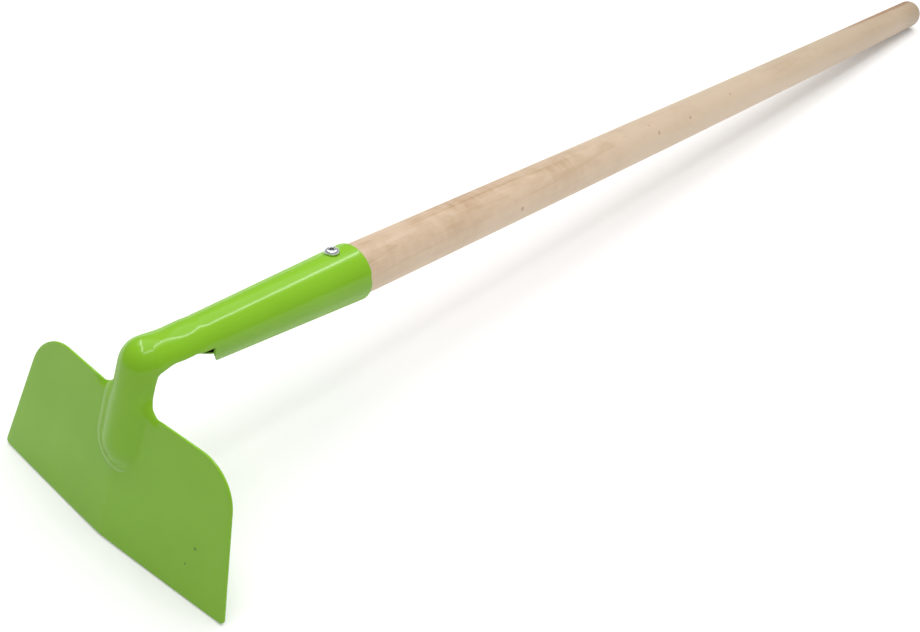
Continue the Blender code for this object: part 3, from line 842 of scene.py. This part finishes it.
def put_on(piece, finish, colour, roughness, relief=None):
    """Link the finish's colour, roughness and relief to its shader, and give it to the piece."""
    links = finish.node_tree.links
    shader = finish.node_tree.nodes["Principled BSDF"]
    links.new(colour, shader.inputs["Base Color"])
    links.new(roughness, shader.inputs["Roughness"])
    if relief:
        bump = add_node(finish.node_tree, "ShaderNodeBump", relief)
        links.new(bump.outputs["Normal"], shader.inputs["Normal"])
    piece.data.materials.clear()
    piece.data.materials.append(finish)
    print("finish:", finish.name)
    return shader


# %% Place a pattern
def stretched(tree, place, scale, turn=(0.0, 0.0, 0.0), move=(0.0, 0.0, 0.0)):
    """Coordinates scaled, turned and moved by a Mapping node."""
    inputs = {"Vector": place, "Scale": scale, "Rotation": turn, "Location": move}
    return add_node(tree, "ShaderNodeMapping", inputs).outputs["Vector"]


def place_group(tree, group, output, **inputs):
    """A group placed in a material with its own values."""
    return add_node(tree, "ShaderNodeGroup", inputs, node_tree=group).outputs[output]


def uneven(tree, place, scale, detail=2.0):
    """Fine unevenness, at a scale."""
    return place_group(tree, unevenness, "Value", Vector=place, Scale=scale, Detail=detail)


def with_spots(tree, mask, place, centres, radius, core):
    """Mask with round spots added, each full within its core's share of the radius."""
    for centre in centres:
        off_centre = measured(tree, "DISTANCE", place, centre)
        spot = rest_of(tree, remap(tree, off_centre, core * radius, radius))
        mask = calculate(tree, "MAXIMUM", mask, spot)
    return mask


# %% [markdown]
# The coat.
# Lime green powder, baked on. It flows a little as it melts, which leaves a faint orange peel and
# soft differences in depth of colour. It looks less glossy at a glancing angle, a pale line round the
# far side of the rib is a painted highlight, and dust leaves a dark speck here and there. The inside
# of the socket is painted near black as painted shade. A plain glossy shader would look like toy
# plastic, so each of these is a mask worked out from the sizes of the head.

# %% Painted shade inside the socket
# Each pair gives the two values between which a mask fades.
SOCKET_SHADE_DEPTH = (0.7 * SHEET, 0.9 * SHEET)
SOCKET_SHADE_RUN = (-SOCKET_LENGTH - 14.0 * MM, -SOCKET_LENGTH - 8.0 * MM)


# The inside of the socket is painted near black: painted shade deep in the tube.
def socket_inside_shade(tree, place):
    """Mask by the depth under the skin: mouth radius plus taper times place, less the distance out.

    The distance is measured from the socket's tilted axis.
    """
    x, y, z = coordinates(tree, place)
    axis_height = product(tree, x, -math.tan(SOCKET_TILT))
    from_axis = slant(tree, y, calculate(tree, "SUBTRACT", z, axis_height))
    skin = total(tree, product(tree, x, SOCKET_TAPER), SOCKET_MOUTH_RADIUS)
    deep = remap(tree, calculate(tree, "SUBTRACT", skin, from_axis), *SOCKET_SHADE_DEPTH)
    return product(tree, deep, remap(tree, x, *SOCKET_SHADE_RUN))


# %% Painted highlight line round the rib
HIGHLIGHT_LINE_OFFSET = 0.6 * MM
HIGHLIGHT_LINE_WIDTH = (0.1 * MM, 0.6 * MM)
HIGHLIGHT_LINE_SIDE = (-9.0 * MM, -3.0 * MM)


# The pale line beside the rib's foot is a painted highlight: a light colour put where the coat shows a
# reflection.
def rib_highlight_line(tree, place):
    """Mask of a thin line at an even distance from the rib's foot.

    The station is the bend's station less the fall from it. The line fades on the near side and
    up the neck.
    """
    side = coordinates(tree, place)["Y"]
    bend_foot, _ = ridge_line(np.array(BEND_START))
    down = np.array([-math.cos(BEND_ANGLE), 0.0, -math.sin(BEND_ANGLE)])
    fallen = measured(tree, "DOT_PRODUCT", place, down.tolist())
    station = calculate(tree, "SUBTRACT", BEND_START + float(bend_foot @ down[[0, 2]]), fallen)
    below = calculate(tree, "MINIMUM", calculate(tree, "SUBTRACT", station, RIB_CENTRE), 0.0)
    off_line = calculate(tree, "SUBTRACT", slant(tree, side, below), RIB_HALF_WIDTH + HIGHLIGHT_LINE_OFFSET)
    line = rest_of(tree, remap(tree, calculate(tree, "ABSOLUTE", off_line), *HIGHLIGHT_LINE_WIDTH))
    up_neck = remap(tree, station, ROOT_START, BEND_START)
    return product(tree, line, remap(tree, side, *HIGHLIGHT_LINE_SIDE), rest_of(tree, up_neck))


# %% Lime green powder coat
COAT_COLOUR = (131, 186, 39)
COAT_DEEP = (127, 181, 33)
# Colour and strength of the painted highlight beside the rib.
RIB_HIGHLIGHT_COLOUR = (196, 222, 160)
RIB_HIGHLIGHT_STRENGTH = 0.5
DUST_COLOUR = (60, 78, 40)
DUST_STRENGTH = 0.7
DUST_PLACES = ((41.7 * MM, 0.9 * MM), (25.0 * MM, -50.1 * MM))
DUST_RADIUS = 1.0 * MM
DUST_CORE = 0.3
# Colour of the painted shade inside the socket.
SOCKET_SHADE_COLOUR = (26, 32, 22)
COAT_ROUGHNESS = (0.13, 0.17)
GLANCING = (0.55, 0.9)
GLANCING_ROUGHNESS = (0.0, 0.4)
COAT_SPECULAR = 0.34

coat, tree, place = start_finish("lime_green_coat")
drift = uneven(tree, place, 22.0)
peel = uneven(tree, place, 420.0)
dust = place_group(tree, specks, "Mask", Vector=place, Scale=60.0, Size=0.045, Rarity=0.9)
dust_centres = [press_point(*blank_place).tolist() for blank_place in DUST_PLACES]
dust = with_spots(tree, dust, place, dust_centres, DUST_RADIUS, DUST_CORE)
colour = layered(tree, COAT_COLOUR,
                 (remap(tree, drift, *COLOUR_SWING), COAT_DEEP),
                 (product(tree, rib_highlight_line(tree, place), RIB_HIGHLIGHT_STRENGTH), RIB_HIGHLIGHT_COLOUR),
                 (product(tree, dust, DUST_STRENGTH), DUST_COLOUR),
                 (socket_inside_shade(tree, place), SOCKET_SHADE_COLOUR))
facing = add_node(tree, "ShaderNodeLayerWeight", {"Blend": 0.5}).outputs["Facing"]
roughness = remap(tree, drift, *GLOSS_SWING, *COAT_ROUGHNESS)
roughness = total(tree, roughness, remap(tree, facing, *GLANCING, *GLANCING_ROUGHNESS))
orange_peel = {"Height": peel, "Strength": 0.06, "Distance": 0.2 * MM}
shader = put_on(head, coat, colour, roughness, orange_peel)
shader.inputs["Specular IOR Level"].default_value = COAT_SPECULAR

# %% [markdown]
# The wood.
# Pale, close grained hardwood, sanded and left bare. A wave texture could draw its rings, but real
# ones are cylinders about the middle of the tree, and the handle was cut a little askew to them. So
# the rings are the distance from a slanted axis beside the handle, bent by slow noise, which gives
# streaks on the sides and arcs on the butt. Slow patches, fibres, a mottle and short rays across the
# grain make up the rest. The lower side is painted paler as painted light, the wood turns cooler and
# then darker towards the butt. It has a few flecks, and one brown streak of painted shade runs along
# its top edge near the butt.

# %% The figure of the wood
RING_WIDTH = 4.2 * MM
RING_WANDER = 5.0 * MM
PITH_TURN = (0.0, math.radians(1.6), math.radians(-1.2))
PITH_PLACE = (0.0, 28.0 * MM, -36.0 * MM)
LATE_WOOD = (0.72, 0.97)
PATCHY = (-0.12, 0.1)
RAY_PATCHES = (0.0, 0.14)
MEAN_DEPTH = 0.2


def grain(tree, place, stretch, scale, detail=2.0):
    """Unevenness on coordinates stretched along and across the handle."""
    return uneven(tree, stretched(tree, place, stretch), scale, detail)


def ring_share(tree, place, wander):
    """Share of the way from one ring to the next: what is left of the distance over the width."""
    in_trunk = stretched(tree, place, (1.0, 1.0, 1.0), PITH_TURN, PITH_PLACE)
    from_pith = measured(tree, "LENGTH", flattened(tree, in_trunk))
    bent = total(tree, from_pith, product(tree, wander, RING_WANDER))
    return calculate(tree, "FRACT", calculate(tree, "DIVIDE", bent, RING_WIDTH))


wood, tree, place = start_finish("pale_sanded_wood")
wander = grain(tree, place, (0.14, 1.0, 1.0), 45.0)
patch = grain(tree, place, (0.6, 1.0, 1.0), 34.0)
fibre = grain(tree, place, (0.02, 1.0, 1.0), 1500.0)
mottle = grain(tree, place, (0.55, 1.0, 1.0), 190.0, 3.0)
rays = grain(tree, place, (2.4, 0.6, 0.6), 110.0)
rays = product(tree, rays, remap(tree, patch, *RAY_PATCHES))
late = remap(tree, ring_share(tree, place, wander), *LATE_WOOD)
late = product(tree, late, remap(tree, patch, *PATCHY))
strengths = ((late, 0.45), (fibre, 0.7), (mottle, 1.4), (rays, 1.1), (patch, 2.0))
parts = [product(tree, part, strength) for part, strength in strengths]
depth = total(tree, *parts, MEAN_DEPTH)
print("parts of the figure:", len(parts))

# %% Streaks and flecks
# A run is two places along the handle and the share of the colour at each.
# The brown streak near the butt is painted shade along the top edge of the handle.
EDGE_SHADE_TURN = math.radians(33.0)
EDGE_SHADE_RADIUS = 5.5 * MM
EDGE_SHADE_CORE = 0.5
EDGE_SHADE_WANDER = 6.0 * MM
EDGE_SHADE_LENGTH = 150.0 * MM
EDGE_SHADE_RUN = (HANDLE_LENGTH - EDGE_SHADE_LENGTH, HANDLE_LENGTH - EDGE_SHADE_LENGTH / 2, 0.0, 0.85)
FLECK_RADIUS = 1.7 * MM
FLECK_CORE = 0.4
FLECK_PLACES = ((116.0 * MM, math.radians(-85)), (247.0 * MM, math.radians(-20)),
                (252.0 * MM, math.radians(-55)), (288.0 * MM, math.radians(-53)),
                (340.0 * MM, math.radians(-38)))


def on_skin(way_along, turn):
    """Point on the handle: a straight taper's radius times sine and cosine of the turn."""
    radius = HANDLE_MOUTH_RADIUS + (BUTT_RADIUS - HANDLE_MOUTH_RADIUS) * way_along / HANDLE_LENGTH
    return way_along, radius * math.sin(turn), radius * math.cos(turn)


# Painted shade: a dark line along the top edge of the handle near the butt.
def top_edge_shade(tree, place, wander):
    """Mask of a streak: the distance from a line along the skin, bent by the wander."""
    line = (0.0, BUTT_RADIUS * math.sin(EDGE_SHADE_TURN), BUTT_RADIUS * math.cos(EDGE_SHADE_TURN))
    from_line = measured(tree, "DISTANCE", flattened(tree, place), line)
    from_line = total(tree, from_line, product(tree, wander, EDGE_SHADE_WANDER))
    streak = rest_of(tree, remap(tree, from_line, EDGE_SHADE_CORE * EDGE_SHADE_RADIUS, EDGE_SHADE_RADIUS))
    return product(tree, streak, remap(tree, coordinates(tree, place)["X"], *EDGE_SHADE_RUN))


flecks = place_group(tree, specks, "Mask", Vector=stretched(tree, place, (0.45, 1.0, 1.0)), Scale=75.0,
                     Size=0.055, Rarity=0.72)
fleck_centres = [on_skin(*fleck_place) for fleck_place in FLECK_PLACES]
flecks = with_spots(tree, flecks, place, fleck_centres, FLECK_RADIUS, FLECK_CORE)
print("placed flecks:", len(fleck_centres))

# %% Bare sanded wood
WOOD_LIGHT = (199, 175, 149)
WOOD_DARK = (173, 142, 109)
WOOD_COOL = (188, 172, 149)
WOOD_UNDERSIDE_LIGHT = (240, 216, 188)
WOOD_END = (165, 145, 119)
# Colour of the painted shade along the top edge.
WOOD_EDGE_SHADE = (150, 112, 80)
WOOD_FLECK = (158, 104, 66)
COOL_RUN = (50.0 * MM, 350.0 * MM, 0.0, 0.6)
MIDDLE_DARKER_RUN = (360.0 * MM, 560.0 * MM, 0.0, 0.3)
BUTT_RUN = (600.0 * MM, HANDLE_LENGTH, 0.0, 0.5)
# The run of the painted light goes across the handle, towards its lower side.
UNDERSIDE_TURN = math.radians(-135.0)
UNDERSIDE_RUN = (-9.0 * MM, 11.0 * MM, 0.0, 0.6)
FLECK_STRENGTH = 0.55
WOOD_ROUGHNESS = (0.42, 0.52)

way_along = coordinates(tree, place)["X"]
# The lower side is painted paler: painted light on the underside of the handle.
to_underside = measured(tree, "DOT_PRODUCT", place, (0.0, math.sin(UNDERSIDE_TURN), math.cos(UNDERSIDE_TURN)))
# The wood is coloured darker towards the butt.
darker_to_butt = total(tree, remap(tree, way_along, *MIDDLE_DARKER_RUN), remap(tree, way_along, *BUTT_RUN))
colour = layered(tree, WOOD_LIGHT,
                 (depth, WOOD_DARK),
                 (remap(tree, way_along, *COOL_RUN), WOOD_COOL),
                 (remap(tree, to_underside, *UNDERSIDE_RUN), WOOD_UNDERSIDE_LIGHT),
                 (darker_to_butt, WOOD_END),
                 (top_edge_shade(tree, place, wander), WOOD_EDGE_SHADE),
                 (product(tree, flecks, FLECK_STRENGTH), WOOD_FLECK))
sanding = {"Height": fibre, "Strength": 0.15, "Distance": 0.1 * MM}
put_on(handle, wood, colour, remap(tree, fibre, *GLOSS_SWING, *WOOD_ROUGHNESS), sanding)

# %% [markdown]
# The zinc.
# Bright plated steel, a little dulled. It is a metal, so its colour comes from what it mirrors. The
# bottom of the recess is painted darker as painted shade, and it is rougher than the plate.

# %% Bright zinc plate
ZINC_BRIGHT = (226, 228, 232)
ZINC_DULL = (206, 208, 213)
ZINC_METALLIC = 0.8
ZINC_SWING = (-0.25, 0.25)
ZINC_ROUGHNESS = (0.2, 0.28)
RECESS_SHADE_COLOUR = (92, 98, 92)
RECESS_SHADE_DEPTH = (0.1 * MM, 0.5 * MM)
RECESS_SHADE_REACH = (0.5 * RECESS_SPAN, 0.6 * RECESS_SPAN)
RECESS_ROUGHNESS = 0.3

zinc, tree, place = start_finish("bright_zinc")
dull = uneven(tree, place, 500.0)
head_top = on_screw_axis(np.array([SCREW_HEAD_HEIGHT, 0.0, 0.0])).tolist()
from_top = add_node(tree, "ShaderNodeVectorMath", {0: place, 1: head_top}, operation="SUBTRACT").outputs[0]
sunk = measured(tree, "DOT_PRODUCT", from_top, (-screw_place[:3, 0]).tolist())
in_middle = rest_of(tree, remap(tree, measured(tree, "LENGTH", from_top), *RECESS_SHADE_REACH))
# The bottom of the recess is painted darker: painted shade.
recess_shade = product(tree, remap(tree, sunk, *RECESS_SHADE_DEPTH), in_middle)
colour = layered(tree, ZINC_BRIGHT, (remap(tree, dull, *COLOUR_SWING), ZINC_DULL), (recess_shade, RECESS_SHADE_COLOUR))
roughness = remap(tree, dull, *ZINC_SWING, *ZINC_ROUGHNESS)
roughness = total(tree, roughness, product(tree, recess_shade, RECESS_ROUGHNESS))
shader = put_on(screw, zinc, colour, roughness)
shader.inputs["Metallic"].default_value = ZINC_METALLIC

# %% [markdown]
# The table and the world.
# A catalogue picture has a white ground with no horizon. So the table is very wide, and what a
# camera, a mirror or a glass sees of it is lifted towards white: a little beside the hoe, where its
# soft shadow stays, and more where the light falls off. The world is a plain dim grey, which leaves
# the shaping of the tool to the lamps.

# %% White table
TABLE_SIZE = 60.0
TABLE_GAP = 0.2 * MM
TABLE_COLOUR = (0.84, 0.84, 0.84, 1.0)
TABLE_ROUGHNESS = 0.9
WHITE = (1.0, 1.0, 1.0, 1.0)
NEAR_REACH = 0.9
FAR_REACH = 2.9
NEAR_LIFT = 0.12
FAR_LIFT = 0.8
LIFTED_RAYS = ("Is Camera Ray", "Is Glossy Ray", "Is Transmission Ray")

table_mesh = bpy.data.meshes.new("table")
half = TABLE_SIZE / 2
corners = [(half * x, half * y, -TABLE_GAP) for x, y in ((-1, -1), (1, -1), (1, 1), (-1, 1))]
table_mesh.from_pydata(corners, [], [(0, 1, 2, 3)])
table = bpy.data.objects.new("table", table_mesh)
bpy.context.scene.collection.objects.link(table)
white = bpy.data.materials.new("white_table")
white.use_nodes = True
tree = white.node_tree
shader = tree.nodes["Principled BSDF"]
shader.inputs["Base Color"].default_value = TABLE_COLOUR
shader.inputs["Roughness"].default_value = TABLE_ROUGHNESS
shader.inputs["Specular IOR Level"].default_value = 0.0
shader.inputs["Emission Color"].default_value = WHITE
rays_seen = add_node(tree, "ShaderNodeLightPath").outputs
seen = calculate(tree, "MAXIMUM", *[rays_seen[kind] for kind in LIFTED_RAYS])
away = measured(tree, "LENGTH", add_node(tree, "ShaderNodeTexCoord").outputs["Object"])
lift = product(tree, seen, remap(tree, away, NEAR_REACH, FAR_REACH, NEAR_LIFT, FAR_LIFT))
tree.links.new(lift, shader.inputs["Emission Strength"])
table_mesh.materials.append(white)
print("table:", TABLE_SIZE, "m")

# %% Grey world
WORLD_STRENGTH = 0.29

world = bpy.data.worlds.new("studio")
world.use_nodes = True
bpy.context.scene.world = world
background = world.node_tree.nodes["Background"]
background.inputs["Strength"].default_value = WORLD_STRENGTH
background.inputs["Color"].default_value = WHITE
print("world:", world.name)

# %% [markdown]
# The lamps.
# Glossy paint shows its lamps, so their shape matters as much as their light. A wide softbox with
# bright rims hangs over the handle, and the rims draw the thin light lines along the socket and over
# the bend. A ceiling lamp fills in from the front and stays out of the mirror images. Point lamps
# would leave hard dots, so all lamps are flat.

# %% Flat lamps overhead
LAMP_HEIGHT = 1.5
RIM_WIDTH = 0.1
RIM_RADIANCE = 8.5
SOFTBOX_RIMS = {
    "left": ((-0.21, 0.02), (0.9, 1.85)),
    "front": ((-0.25, -0.12), (0.5, -0.28)),
    "right": ((0.6, -0.18), (1.35, 0.45)),
}
above_bend = Vector(placed(press_point(BEND_END, 0.0)))


def overhead(name, start, stop, width, radiance, raised=0.0, mirror_image=True):
    """Flat lamp that looks straight down, from start to stop as places above the bend.

    Places and width are shares of the height. The power is pi times radiance times area.
    """
    start, stop = Vector(start) * LAMP_HEIGHT, Vector(stop) * LAMP_HEIGHT
    run = stop - start
    middle = (start + stop) / 2
    lamp = bpy.data.objects.new(name, bpy.data.lights.new(name, "AREA"))
    lamp.data.shape = "RECTANGLE"
    lamp.data.size = run.length
    lamp.data.size_y = width * LAMP_HEIGHT
    lamp.data.energy = math.pi * radiance * run.length * width * LAMP_HEIGHT
    lamp.location = above_bend + Vector((middle.x, middle.y, LAMP_HEIGHT + raised))
    lamp.rotation_euler = (0.0, 0.0, math.atan2(run.y, run.x))
    lamp.visible_glossy = mirror_image
    bpy.context.scene.collection.objects.link(lamp)


overhead("ceiling", (-1.0, -0.35), (1.2, -0.35), 2.0, 0.78, raised=0.1, mirror_image=False)
overhead("softbox", (-0.05, 0.6), (1.25, 0.62), 1.4, 0.95, raised=0.02)
for side, (start, stop) in SOFTBOX_RIMS.items():
    overhead(f"softbox_{side}_rim", start, stop, RIM_WIDTH, RIM_RADIANCE)
bpy.context.scene.view_settings.view_transform = "Standard"
